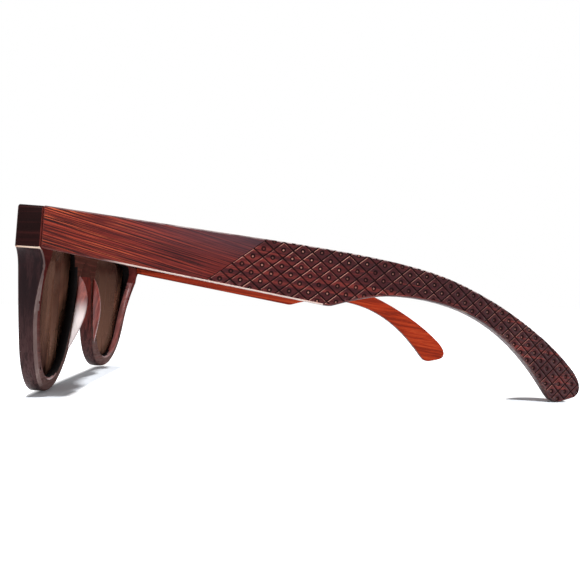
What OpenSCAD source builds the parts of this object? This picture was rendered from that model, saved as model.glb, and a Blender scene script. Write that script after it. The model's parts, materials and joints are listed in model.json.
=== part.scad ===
// Wooden sunglasses: a one-piece front with two grooved rims, glued nose pads and
// two long temples on sprung folding hinges. They stand on the rims and the ear tips.
// Millimetres. X is across the face, the front looks to -Y, the temples run to +Y, Z is up.

/* [Front] */
// overall width across the end pieces
frame_width = 140; // [136:1:144]
// thickness of the rims from front to back
rim_thickness = 5; // [4.6:0.1:5.4]
// radius of the front's sweep from side to side
front_radius = 500; // [460:10:560]
// depth of each end piece at its outer edge
end_depth = 6.2; // [6:0.1:6.6]
// radius of the hollow that runs from the end piece down into the rim
flank_radius = 87; // [80:1:95]
// radius of the hollow that runs from the end piece into the brow
brow_radius = 20; // [16:1:22]

/* [Lenses] */
// thickness of each lens
lens_thickness = 1.2; // [1:0.1:1.5]
// how far each lens sits behind the front face
lens_inset = 0.6; // [0.5:0.1:0.8]
// depth of the groove that holds the lens
groove_depth = 1; // [0.8:0.1:1.2]
// play between the lens and its groove
lens_play = 0.05; // [0.03:0.01:0.08]

/* [Nose pads] */
// how far each pad stands behind its rim
pad_rise = 3.4; // [3:0.1:3.8]
// length of each pad along the side of the nose
pad_length = 25; // [23:0.5:26]
// lean of each pad towards the nose
pad_lean = 0.6; // [0.5:0.05:0.7]

/* [Temples] */
// reach of each temple behind the seam with the front
temple_length = 147; // [143:1:150]
// thickness of each temple along its straight part
temple_thickness = 4.4; // [4.2:0.1:4.8]
// thickness of each temple at the end of the ear
tip_thickness = 3.2; // [2.8:0.1:4]
// where the temple starts to bend inward
bend_start = 60; // [56:1:64]
// radius of the inward bend on the outer side
bend_radius = 375; // [340:5:420]
// gap between the end piece and the temple
seam_gap = 0.08; // [0.05:0.01:0.12]

/* [Hinges] */
// radius of the hinge screw's shank
pin_radius = 0.7; // [0.6:0.05:0.75]
// running clearance around the hinge screw
pin_clearance = 0.05; // [0.03:0.01:0.08]
// radius of the knuckles
knuckle_radius = 1.3; // [1.2:0.05:1.35]
// height of the three knuckles together
knuckle_height = 4.6; // [4.2:0.1:4.8]
// gap between neighbouring knuckles
knuckle_gap = 0.1; // [0.08:0.01:0.15]
// thickness of the hinge leaf's plate
leaf_thickness = 0.8; // [0.7:0.05:0.9]
// radius of the small wood screws
screw_radius = 0.5; // [0.4:0.05:0.55]

/* [Spring cases] */
// how deep each case is let into its temple
case_sink = 1.9; // [1.7:0.1:2.1]
// how far each case stands out of its temple
case_stand = 1.7; // [1.5:0.1:1.8]
// length of the bored block
case_length = 14.9; // [14.5:0.1:16]
// length of the screwed tail behind the block
tail_length = 7; // [6.5:0.1:8]
// play around a sliding or seated piece
slide_play = 0.08; // [0.06:0.01:0.1]
// radius of the tongue's shank
shank_radius = 0.4; // [0.35:0.01:0.42]
// radius of the spring's wire
wire_radius = 0.18; // [0.15:0.01:0.19]
// radius of the coil to the middle of its wire
coil_radius = 0.88; // [0.86:0.01:0.9]
// turns of the coil
coil_turns = 7; // [6:1:7]
// length of the coil between its two seats
coil_room = 7; // [6.8:0.1:7.4]

/* [Hidden] */
$fn = 96;

stretch = frame_width / 140;
reach = temple_length / 147;
half = frame_width / 2;
tall = 60;

// sweep of the front
sweep_y = sqrt(front_radius * front_radius - half * half) - end_depth;
back_radius = front_radius - rim_thickness;
function front_y(x) = sweep_y - sqrt(front_radius * front_radius - x * x);
function back_y(x) = sweep_y - sqrt(back_radius * back_radius - x * x);

// curves
function bez(p, t) = pow(1 - t, 3) * p[0] + 3 * pow(1 - t, 2) * t * p[1]
  + 3 * (1 - t) * t * t * p[2] + pow(t, 3) * p[3];
function curve(p, n) = [for (i = [0 : n - 1]) bez(p, i / n)];
function flip(p) = [for (i = [len(p) - 1 : -1 : 0]) [-p[i][0], p[i][1]]];
function widen(p) = [for (q = p) [q[0] * stretch, q[1]]];
function at(p, i) = p[(i + len(p)) % len(p)];
function round_trip(p, n) = [
  for (i = [0 : len(p) - 1]) for (k = [0 : n - 1])
    let (t = k / n, a = at(p, i - 1), b = at(p, i), c = at(p, i + 1), d = at(p, i + 2))
      b + 0.5 * ((c - a) * t + (2 * a - 5 * b + 4 * c - d) * t * t
        + (3 * b - a - 3 * c + d) * t * t * t)
];
function outward(a, b) = [a[1] - b[1], b[0] - a[0]] / norm(b - a);
function grown(p, d) = [
  for (i = [0 : len(p) - 1]) p[i] + d * outward(at(p, i - 1), at(p, i + 1))
];

// outline of the front, from the middle of the brow round to the middle of the bridge
brow = concat(
  curve([[0, 48.2], [14, 48.2], [24, 51.3], [44, 51.3]], 10),
  curve([[44, 51.3], [54, 51.3], [62, 51.2], [68.6, 51.1]], 4),
  curve([[68.6, 51.1], [69.6, 51.1], [70, 50.6], [70, 49.6]], 4)
);
flank = concat(
  curve([[70, 40.3], [67.2, 39.6], [65.6, 37.5], [64.7, 34.5]], 8),
  curve([[64.7, 34.5], [62.2, 27], [60, 20.3], [57.2, 14]], 8),
  curve([[57.2, 14], [52.8, 4.6], [44.4, 0], [36.5, 0]], 10)
);
nasal = concat(
  curve([[36.5, 0], [27, 0], [18.9, 5.2], [14.6, 14.5]], 10),
  curve([[14.6, 14.5], [11.2, 21.9], [9.7, 28], [8.6, 32]], 6),
  curve([[8.6, 32], [7.2, 37.6], [5, 41.2], [0, 41.2]], 8)
);
half_outline = concat(brow, flank, nasal, [[0, 41.2]]);
mirrored = flip(half_outline);
front_outline = widen(concat(
  half_outline, [for (i = [1 : len(mirrored) - 2]) mirrored[i]]
));
opening = widen(round_trip([
  [13.6, 38.5], [17.5, 43], [34, 44.4], [52.5, 43.6], [58.5, 40], [59.3, 33.5], [57.2, 26],
  [54.2, 18.5], [49.8, 10.6], [42.6, 5.4], [34, 4.5], [25, 8.4], [18.2, 17.5], [13.8, 28]
], 6));

// outline of a temple, in Y and Z
top_edge = concat(
  [[0, 51.1]],
  curve([[62, 46.3], [74.6, 45.2], [94.5, 43.5], [105, 40.1]], 8),
  curve([[105, 40.1], [117.6, 36.2], [134.4, 27.5], [144.3, 17.4]], 10),
  curve([[144.3, 17.4], [147.5, 14.1], [148.5, 10.5], [144, 9.1]], 8)
);
low_edge = concat(
  curve([[140.6, 8.4], [138.4, 7.8], [137.2, 9.4], [135.3, 11.9]], 6),
  curve([[135.3, 11.9], [123.2, 27.3], [110.2, 34.2], [92, 34.4]], 14),
  curve([[92, 34.4], [86, 34.5], [80, 32.9], [74.4, 31]], 6),
  curve([[74.4, 31], [73.4, 30.6], [72.4, 30.7], [71.4, 30.9]], 4),
  [[71.4, 30.9], [0, 40.5]]
);
temple_outline = [for (q = concat(top_edge, low_edge)) [max(q[0] * reach, seam_gap), q[1]]];

// stance on the rims' back edges and the ear tips
foot_y = back_y(nasal[0][0] * stretch);
lean = min([for (q = temple_outline) if (q[0] > 100) atan2(q[1], q[0] - foot_y)]);
rise = foot_y * sin(lean);
front_most = min([for (q = front_outline) front_y(q[0]) * cos(lean) + q[1] * sin(lean)]);
rear_most = max([for (q = temple_outline) q[0] * cos(lean) + q[1] * sin(lean)]);
shift = -(front_most + rear_most) / 2;

// inward bend, with an inner side that closes in on the outer one
bend_run = temple_length - bend_start;
outer_sag = bend_radius - sqrt(bend_radius * bend_radius - bend_run * bend_run);
inner_sag = outer_sag - temple_thickness + tip_thickness;
inner_radius = (bend_run * bend_run + inner_sag * inner_sag) / (2 * inner_sag);

// hinge
inner_face = half - temple_thickness;
hinge_z = 46;
pivot_x = inner_face - 1.2;
pivot_y = 1;
ear_height = (knuckle_height - 2 * knuckle_gap) * 0.3;
tongue_height = knuckle_height - 2 * knuckle_gap - 2 * ear_height;
leaf_floor = -1.9;
leaf_back = leaf_floor + leaf_thickness;
leaf_left = pivot_x - 8;
leaf_half = 2.6;
leaf_screw_x = [leaf_left + 2, leaf_left + 5.2];
screw_head = 0.95;
screw_head_height = 0.45;
screw_bite = 2.4;
pin_head = 1;
pin_head_height = 0.6;

// spring case
case_floor = inner_face + case_sink;
case_inner = inner_face - case_stand;
case_front = pivot_y + knuckle_radius + 0.3;
case_end = case_front + case_length;
case_half = 2.4;
shank_x = case_floor - 1.3;
neck_half = 0.75;
neck_end = case_front + 2.3;
wall_front = neck_end + 0.1;
coil_front = wall_front + 1.2;
collar_front = coil_front + coil_room;
collar_length = 1.2;
collar_radius = 1.2;
chamber_half = 1.3;
tail_thickness = 1;
tail_screw_y = [case_end + 2, case_end + 5];
seat_play = 0.02;

module stand() {
  translate([0, shift, rise])
    rotate([-lean, 0, 0])
      children();
}

module right_side() {
  mirror([1, 0, 0])
    children();
}

module through(points, from, to) {
  translate([0, to, 0])
    rotate([90, 0, 0])
      linear_extrude(to - from)
        polygon(points);
}

module swept(radius) {
  translate([0, sweep_y, -5])
    cylinder(r = radius, h = tall + 10, $fn = 720);
}

module wood_screw(bite, head) {
  translate([0, 0, -bite])
    cylinder(r = screw_radius, h = bite);
  cylinder(r = screw_head, h = head);
}

// the thick end of the front that carries the hinge, with hollows down the flank and along the brow
module end_piece() {
  brow_x = 44 * stretch;
  brow_turn = asin(brow_x / back_radius);
  flank_x = 62 * stretch;
  flank_turn = asin(flank_x / back_radius);
  intersection() {
    difference() {
      through(front_outline, -20, 0);
      through(opening, -21, 1);
      translate([brow_x - brow_radius * sin(brow_turn), back_y(brow_x) + brow_radius * cos(brow_turn), 0])
        cylinder(r = brow_radius, h = tall, $fn = 180);
      translate([flank_x, back_y(flank_x), 18])
        rotate([0, 0, flank_turn])
          translate([0, flank_radius, 0])
            rotate([0, 90, 0])
              cylinder(r = flank_radius, h = 80, center = true, $fn = 360);
    }
    swept(front_radius);
    translate([brow_x, -20, 18])
      cube([half - brow_x + 1, 40, tall]);
  }
}

module hinge_pocket() {
  translate([leaf_left - 0.1, leaf_floor, hinge_z - 3.1])
    cube([pivot_x + knuckle_radius + 0.3 - leaf_left + 0.1, 5, 6.2]);
  for (x = leaf_screw_x)
    translate([x, leaf_floor, hinge_z])
      rotate([90, 0, 0])
        translate([0, 0, -1])
          cylinder(r = screw_radius + seat_play, h = screw_bite - leaf_thickness + 1.1);
}

module lens_groove() {
  difference() {
    through(grown(opening, groove_depth), -20, 10);
    swept(front_radius - lens_inset - lens_thickness - lens_play);
  }
}

module rims() {
  difference() {
    intersection() {
      through(front_outline, -20, 0);
      swept(front_radius);
    }
    swept(back_radius);
    through(opening, -21, 1);
    right_side()
      through(opening, -21, 1);
  }
}

module groove_ring() {
  intersection() {
    lens_groove();
    swept(front_radius - lens_inset + lens_play);
  }
}

module front_frame() {
  color([0.16, 0.08, 0.07])
    stand()
      difference() {
        union() {
          rims();
          end_piece();
          right_side()
            end_piece();
        }
        groove_ring();
        right_side()
          groove_ring();
        hinge_pocket();
        right_side()
          hinge_pocket();
      }
}

module lens() {
  color([0.30, 0.23, 0.18, 0.7])
    intersection() {
      through(grown(opening, groove_depth - lens_play), -20, 10);
      difference() {
        swept(front_radius - lens_inset);
        swept(front_radius - lens_inset - lens_thickness);
      }
    }
}

module lens_left() {
  stand()
    lens();
}

module lens_right() {
  stand()
    right_side()
      lens();
}

// a soft ridge along the nasal band of the rim, seated on the rim's back face
pad_rings = 18;
pad_steps = 10;
function pad_mid(s) = bez([[17.6, 10.8], [14.2, 16.5], [11.6, 26], [10, 10.8 + pad_length]], s);
function pad_across(s) = outward(pad_mid(s + 0.01), pad_mid(s - 0.01));
function pad_width(s) = 1.75 * pow(sin(180 * s), 0.5);
function pad_height(s) = pad_rise * pow(sin(180 * pow(s, 1.65)), 0.7);
pad_points = [
  for (i = [0 : pad_rings]) for (k = [0 : pad_steps])
    let (s = 0.01 + 0.98 * i / pad_rings, turn = 180 * k / pad_steps,
      up = pad_height(s) * pow(sin(turn), 0.85),
      side = pad_width(s) * cos(turn) - pad_lean * up,
      flat = pad_mid(s) + side * pad_across(s))
      [flat[0] * stretch, up, flat[1]]
];
pad_count = pad_steps + 1;
pad_faces = concat(
  [[for (k = [0 : pad_steps]) k]],
  [
    for (i = [0 : pad_rings - 1]) for (k = [0 : pad_steps]) for (part = [0, 1])
      let (a = pad_count * i + k, b = pad_count * i + (k + 1) % pad_count)
        part == 0 ? [a, a + pad_count, b + pad_count] : [a, b + pad_count, b]
  ],
  [[for (k = [pad_steps : -1 : 0]) pad_count * pad_rings + k]]
);

module nose_pad() {
  seat_x = 13.5 * stretch;
  color([0.36, 0.10, 0.06])
    translate([seat_x, back_y(seat_x) + 0.02, 0])
      rotate([0, 0, asin(seat_x / back_radius)])
        translate([-seat_x, 0, 0])
          polyhedron(pad_points, pad_faces);
}

module nose_pad_left() {
  stand()
    nose_pad();
}

module nose_pad_right() {
  stand()
    right_side()
      nose_pad();
}

module temple() {
  color([0.34, 0.13, 0.10])
    difference() {
      intersection() {
        rotate([90, 0, 90])
          linear_extrude(half + 5)
            polygon(temple_outline);
        linear_extrude(tall)
          union() {
            translate([inner_face, 0])
              square([temple_thickness, bend_start]);
            intersection() {
              difference() {
                translate([half - bend_radius, bend_start])
                  circle(r = bend_radius, $fn = 720);
                translate([inner_face - inner_radius, bend_start])
                  circle(r = inner_radius, $fn = 720);
              }
              translate([0, bend_start])
                square([half + 5, temple_length]);
            }
          }
      }
      translate([inner_face - 1, -1, hinge_z - case_half - seat_play])
        cube([case_sink + 1, case_end + 1 + seat_play, 2 * (case_half + seat_play)]);
      translate([inner_face - 1, case_end - 1, hinge_z - case_half - seat_play])
        cube([tail_thickness + 1, tail_length + 1 + seat_play, 2 * (case_half + seat_play)]);
      for (y = tail_screw_y)
        translate([inner_face, y, hinge_z])
          rotate([0, 90, 0])
            cylinder(r = screw_radius + seat_play, h = screw_bite + 0.1);
    }
}

module temple_left() {
  stand()
    temple();
}

module temple_right() {
  stand()
    right_side()
      temple();
}

module hinge_leaf() {
  low = hinge_z - knuckle_height / 2;
  high = hinge_z + knuckle_height / 2 - ear_height;
  color([0.55, 0.55, 0.57])
    difference() {
      union() {
        translate([leaf_left, leaf_floor, hinge_z - leaf_half])
          cube([pivot_x + 1.1 - leaf_left, leaf_thickness, 2 * leaf_half]);
        for (z = [low, high]) {
          translate([pivot_x, pivot_y, z])
            cylinder(r = knuckle_radius, h = ear_height);
          translate([pivot_x - 1.1, leaf_floor, z])
            cube([2.2, pivot_y - leaf_floor, ear_height]);
        }
      }
      translate([pivot_x, pivot_y, low - 1])
        cylinder(r = pin_radius + seat_play, h = knuckle_height + 2);
      for (x = leaf_screw_x)
        translate([x, 0, hinge_z])
          rotate([90, 0, 0])
            cylinder(r = screw_radius + seat_play, h = 5);
    }
}

module hinge_leaf_left() {
  stand()
    hinge_leaf();
}

module hinge_leaf_right() {
  stand()
    right_side()
      hinge_leaf();
}

module leaf_screws() {
  color([0.62, 0.62, 0.64])
    for (x = leaf_screw_x)
      translate([x, leaf_back, hinge_z])
        rotate([-90, 0, 0])
          wood_screw(screw_bite, screw_head_height);
}

module leaf_screws_left() {
  stand()
    leaf_screws();
}

module leaf_screws_right() {
  stand()
    right_side()
      leaf_screws();
}

module hinge_screw() {
  color([0.62, 0.62, 0.64])
    translate([pivot_x, pivot_y, hinge_z + knuckle_height / 2]) {
      translate([0, 0, -knuckle_height - 0.3])
        cylinder(r = pin_radius, h = knuckle_height + 0.3);
      cylinder(r = pin_head, h = pin_head_height);
    }
}

module hinge_screw_left() {
  stand()
    hinge_screw();
}

module hinge_screw_right() {
  stand()
    right_side()
      hinge_screw();
}

// centre knuckle, a web out to the neck that slides in the case, and the shank inside the coil
module hinge_tongue() {
  outer = case_floor - slide_play;
  color([0.58, 0.58, 0.60])
    difference() {
      union() {
        translate([pivot_x, pivot_y, hinge_z - tongue_height / 2])
          cylinder(r = knuckle_radius, h = tongue_height);
        translate([pivot_x, pivot_y, hinge_z - neck_half])
          cube([outer - pivot_x, knuckle_radius + 0.2, 2 * neck_half]);
        translate([shank_x - neck_half, pivot_y, hinge_z - neck_half])
          cube([outer - shank_x + neck_half, neck_end - pivot_y, 2 * neck_half]);
        translate([shank_x, neck_end - 0.5, hinge_z])
          rotate([-90, 0, 0])
            cylinder(r = shank_radius, h = collar_front + collar_length + 0.2 - neck_end + 0.5);
      }
      translate([pivot_x, pivot_y, hinge_z - knuckle_height])
        cylinder(r = pin_radius + pin_clearance, h = 2 * knuckle_height);
    }
}

module hinge_tongue_left() {
  stand()
    hinge_tongue();
}

module hinge_tongue_right() {
  stand()
    right_side()
      hinge_tongue();
}

// one unbroken wire wound round the shank
coil_rings = 8 * coil_turns;
coil_pitch = (coil_room - 2 * wire_radius - 0.04) / coil_turns;
coil_mid = [
  for (i = [0 : coil_rings])
    [coil_radius * cos(45 * i), coil_pitch * i / 8, coil_radius * sin(45 * i)]
];
coil_slope = atan2(coil_pitch, 360 * coil_radius * PI / 180);
coil_points = [
  for (i = [0 : coil_rings]) for (k = [0 : 5])
    let (out = [cos(45 * i), 0, sin(45 * i)],
      side = [sin(coil_slope) * sin(45 * i), cos(coil_slope), -sin(coil_slope) * cos(45 * i)])
      coil_mid[i] + wire_radius * (cos(60 * k) * out + sin(60 * k) * side)
];
coil_faces = concat(
  [[for (k = [0 : 5]) k]],
  [
    for (i = [0 : coil_rings - 1]) for (k = [0 : 5]) for (half_face = [0, 1])
      let (a = 6 * i + k, b = 6 * i + (k + 1) % 6)
        half_face == 0 ? [a, a + 6, b + 6] : [a, b + 6, b]
  ],
  [[for (k = [5 : -1 : 0]) 6 * coil_rings + k]]
);
coil_gap = min([
  for (i = [0 : coil_rings - 6]) for (j = [i + 6 : min(i + 10, coil_rings)])
    norm(coil_mid[i] - coil_mid[j])
]) - 2 * wire_radius;
echo(least_gap_between_turns = coil_gap);

module hinge_spring() {
  color([0.66, 0.66, 0.68])
    translate([shank_x, coil_front + wire_radius + 0.02, hinge_z])
      polyhedron(coil_points, coil_faces);
}

module hinge_spring_left() {
  stand()
    hinge_spring();
}

module hinge_spring_right() {
  stand()
    right_side()
      hinge_spring();
}

module spring_collar() {
  color([0.60, 0.60, 0.62])
    translate([shank_x, collar_front, hinge_z])
      rotate([-90, 0, 0])
        difference() {
          cylinder(r = collar_radius, h = collar_length);
          translate([0, 0, -1])
            cylinder(r = shank_radius + seat_play, h = collar_length + 2);
        }
}

module spring_collar_left() {
  stand()
    spring_collar();
}

module spring_collar_right() {
  stand()
    right_side()
      spring_collar();
}

// block with a stepped channel, open to the wood, and a screwed tail
module spring_case() {
  slot = neck_half + slide_play;
  hole = shank_radius + 0.06;
  color([0.52, 0.52, 0.54])
    difference() {
      union() {
        translate([case_inner, case_front, hinge_z - case_half])
          cube([case_floor - case_inner, case_length, 2 * case_half]);
        translate([inner_face, case_end - 0.5, hinge_z - case_half])
          cube([tail_thickness, tail_length + 0.5, 2 * case_half]);
      }
      translate([shank_x - slot, case_front - 1, hinge_z - slot])
        cube([10, wall_front - case_front + 1, 2 * slot]);
      translate([shank_x - hole, wall_front - 0.5, hinge_z - hole])
        cube([10, 3, 2 * hole]);
      translate([shank_x - chamber_half, coil_front, hinge_z - chamber_half])
        cube([10, case_end - 1 - coil_front, 2 * chamber_half]);
      for (y = tail_screw_y)
        translate([inner_face - 1, y, hinge_z])
          rotate([0, 90, 0])
            cylinder(r = screw_radius + seat_play, h = 5);
    }
}

module spring_case_left() {
  stand()
    spring_case();
}

module spring_case_right() {
  stand()
    right_side()
      spring_case();
}

module case_screws() {
  color([0.62, 0.62, 0.64])
    for (y = tail_screw_y)
      translate([inner_face, y, hinge_z])
        rotate([0, -90, 0])
          wood_screw(screw_bite, screw_head_height);
}

module case_screws_left() {
  stand()
    case_screws();
}

module case_screws_right() {
  stand()
    right_side()
      case_screws();
}

front_frame();
lens_left();
lens_right();
nose_pad_left();
nose_pad_right();
temple_left();
temple_right();
hinge_leaf_left();
hinge_leaf_right();
leaf_screws_left();
leaf_screws_right();
hinge_screw_left();
hinge_screw_right();
hinge_tongue_left();
hinge_tongue_right();
hinge_spring_left();
hinge_spring_right();
spring_collar_left();
spring_collar_right();
spring_case_left();
spring_case_right();
case_screws_left();
case_screws_right();
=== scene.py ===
"""Wooden sunglasses: stained rims, tinted lenses, carved temples and sprung hinges, dressed over the CAD."""

import json
import logging
import math
from dataclasses import dataclass
from enum import Enum
from functools import partial, reduce
from typing import Callable, Sequence

import bmesh
import bpy
from bmesh.types import BMEdge, BMesh, BMFace, BMVert
from bpy.types import ID, Material, Node, NodeSocket, NodeTree, Object
from mathutils import Matrix, Vector


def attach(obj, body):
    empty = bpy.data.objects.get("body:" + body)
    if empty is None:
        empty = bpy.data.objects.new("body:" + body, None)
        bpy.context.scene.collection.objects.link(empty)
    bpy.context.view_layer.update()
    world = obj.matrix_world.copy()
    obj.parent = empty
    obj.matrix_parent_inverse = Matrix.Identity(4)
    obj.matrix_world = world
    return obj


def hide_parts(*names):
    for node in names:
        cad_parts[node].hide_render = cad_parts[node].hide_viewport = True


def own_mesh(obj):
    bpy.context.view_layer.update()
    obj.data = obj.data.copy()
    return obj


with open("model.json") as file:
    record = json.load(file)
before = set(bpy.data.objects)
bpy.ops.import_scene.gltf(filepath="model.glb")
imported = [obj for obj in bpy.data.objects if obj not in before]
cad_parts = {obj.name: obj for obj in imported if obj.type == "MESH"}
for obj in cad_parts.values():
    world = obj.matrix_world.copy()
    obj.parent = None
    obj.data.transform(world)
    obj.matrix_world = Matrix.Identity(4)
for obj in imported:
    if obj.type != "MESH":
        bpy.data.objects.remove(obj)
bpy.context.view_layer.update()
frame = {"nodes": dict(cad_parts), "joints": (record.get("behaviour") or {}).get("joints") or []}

MM = 0.001
HINGE_Z = 46.0
HALF_WIDTH = 70.0
TEMPLE_FALL = 9.3
SHARP = math.radians(35)
WHITE = (1.0, 1.0, 1.0, 1.0)
Colour = tuple[float, float, float, float]
Pair = tuple[float, float]
Triple = tuple[float, float, float]
Shade = Triple
Inputs = dict[str | int, object]
LOG = logging.getLogger("sunglasses")


def stain(red: float, green: float, blue: float) -> Colour:
    """A colour as a screen shows it, each part from 0 to 255, as opaque scene light."""
    light = [((c / 255 + 0.055) / 1.055) ** 2.4 if c > 10 else c / 255 / 12.92 for c in (red, green, blue)]
    return (light[0], light[1], light[2], 1.0)


def share(value: float, start: float, end: float) -> float:
    """How far a value has come from a start to an end, from 0 to 1."""
    return min(max((value - start) / (end - start), 0), 1)


def between(start: float, end: float, part: float) -> float:
    """The value that lies a part of the way from a start to an end."""
    return start + (end - start) * part


class Side(Enum):
    """The wearer's left or right half; the value is the sign of X."""

    LEFT = 1
    RIGHT = -1

    @property
    def label(self) -> str:
        """The word that ends the names of this half's nodes and pieces."""
        return self.name.lower()


class Slot(Enum):
    """The record's material slots."""

    FRONT = "front_wood"
    TEMPLE = "temple_wood"
    PAD = "pad_wood"
    LENS = "lens"
    HINGE = "hinge_steel"
    SCREW = "screw_steel"


def stance(pivot: Pair = (1.0, HINGE_Z)) -> Matrix:
    """Where the glasses' upright frame, with its seam plane at Y 0, lies in the frame that they stand in.

    Args:
        pivot: Y and Z of the left hinge in the upright frame, in millimetres.

    Returns:
        The matrix from the upright frame to the standing one, in metres.
    """
    fold = next(j for j in frame["joints"] if j["name"] == "left_fold")
    turn = Matrix.Rotation(-math.atan2(fold["axis"][1], fold["axis"][2]), 4, "X")
    hinge = Vector((fold["pos_m"][0], pivot[0] * MM, pivot[1] * MM))
    return Matrix.Translation(Vector(fold["pos_m"]) - turn @ hinge) @ turn


STANCE = stance()
UPRIGHT = STANCE.inverted()


class Nodes:
    """Adds and links the nodes of one tree."""

    def __init__(self, tree: NodeTree) -> None:
        """Takes the tree that the nodes go into."""
        self.tree = tree

    def put(self, socket: NodeSocket, value: object) -> None:
        """Links an output to an input, or sets the input's value.

        Args:
            socket: the input.
            value: an output or a plain value.
        """
        if isinstance(value, NodeSocket):
            self.tree.links.new(value, socket)
        else:
            socket.default_value = value

    def add(self, kind: str, inputs: Inputs | None = None, **settings: object) -> Node:
        """Adds a shader node.

        Args:
            kind: the end of the node's type name.
            inputs: an output or a plain value for each input, by name or number.
            settings: attributes to set before that.

        Returns:
            The node.
        """
        node = self.tree.nodes.new(f"ShaderNode{kind}")
        for key, value in settings.items():
            setattr(node, key, value)
        for key, value in (inputs or {}).items():
            self.put(node.inputs[key], value)
        return node

    def ramp(self, value: object, low: float, high: float, start: float = 0, end: float = 1) -> NodeSocket:
        """A smooth step from a start to an end, as a value goes from low to high."""
        inputs = {"Value": value, "From Min": low, "From Max": high, "To Min": start, "To Max": end}
        return self.add("MapRange", inputs, interpolation_type="SMOOTHSTEP").outputs[0]

    def mix(self, factor: object, *colours: Shade | NodeSocket) -> NodeSocket:
        """Mixes a share of a second colour into a first one; a plain colour is as a screen shows it."""
        first, second = (c if isinstance(c, NodeSocket) else stain(*c) for c in colours)
        return self.add("Mix", {"Factor": factor, 6: first, 7: second}, data_type="RGBA").outputs[2]

    def math(self, kind: str, *values: object) -> NodeSocket:
        """Applies a named operation to one value or two."""
        return self.add("Math", dict(enumerate(values)), operation=kind).outputs[0]

    def product(self, *factors: object) -> NodeSocket:
        """Multiplies values."""
        return reduce(partial(self.math, "MULTIPLY"), factors)

    def seen(self) -> NodeSocket:
        """A value of 1 for rays that show the background: from the camera, a gloss or a glass."""
        names = ("Is Camera Ray", "Is Glossy Ray", "Is Transmission Ray")
        return reduce(partial(self.math, "MAXIMUM"), map(self.add("LightPath").outputs.get, names))

    def part(self, vector: NodeSocket, axis: str) -> NodeSocket:
        """The X, Y or Z of a vector."""
        return self.add("SeparateXYZ", {0: vector}).outputs[axis]


class Painter(Nodes):
    """Builds the nodes of one material, on its object's own coordinates."""

    def __init__(self, name: str, shader: str = "BsdfPrincipled") -> None:
        """Starts a material.

        Args:
            name: the material's name.
            shader: the end of its shader's type name.
        """
        self.material: Material = bpy.data.materials.new(name)
        self.material.use_nodes = True
        super().__init__(self.material.node_tree)
        self.tree.nodes.clear()
        self.shader = self.add(shader)
        self.out = self.add("OutputMaterial", {0: self.shader.outputs[0]})
        texture = self.add("TexCoord").outputs
        self.coordinates, self.normal = texture["Object"], texture["Normal"]
        self.colour: Shade | NodeSocket = (255, 255, 255)

    def cover(self, factor: object, colour: Shade | NodeSocket) -> None:
        """Mixes a share of a colour over the colour so far."""
        self.colour = self.mix(factor, self.colour, colour)

    def place(self, scale: Triple, tilt: float = 0.0) -> NodeSocket:
        """Object coordinates, turned about X by degrees and then scaled in repeats per metre."""
        turn = self.add("Mapping", {"Vector": self.coordinates, "Rotation": (math.radians(tilt), 0, 0)})
        return self.add("Mapping", {"Vector": turn.outputs[0], "Scale": scale}).outputs[0]

    def noise(self, vector: NodeSocket, detail: int = 3, rough: float = 0.5, warp: float = 0) -> NodeSocket:
        """A noise value of about 0.2 to 0.8, with one repeat per unit of its coordinates."""
        inputs = {"Vector": vector, "Scale": 1.0, "Detail": detail, "Roughness": rough, "Distortion": warp}
        return self.add("TexNoise", inputs).outputs["Fac"]

    def axis(self, name: str) -> NodeSocket:
        """One object coordinate, X, Y or Z, in metres."""
        return self.part(self.coordinates, name)

    def step(self, axis: str, reach: Pair, start: float = 0, end: float = 1) -> NodeSocket:
        """A smooth step along an object axis, over a reach in millimetres."""
        return self.ramp(self.axis(axis), reach[0] * MM, reach[1] * MM, start, end)

    def bump(self, height: NodeSocket, depth: float, strength: float) -> None:
        """Roughens the shader's normal by a share of a height, whose full step is a depth in metres."""
        node = self.add("Bump", {"Height": height, "Distance": depth, "Strength": strength})
        self.set(Normal=node.outputs[0])

    def set(self, **values: object) -> None:
        """Sets or links inputs of the shader, named with underscores for spaces."""
        for key, value in values.items():
            self.put(self.shader.inputs[key.replace("_", " ")], value)


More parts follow.
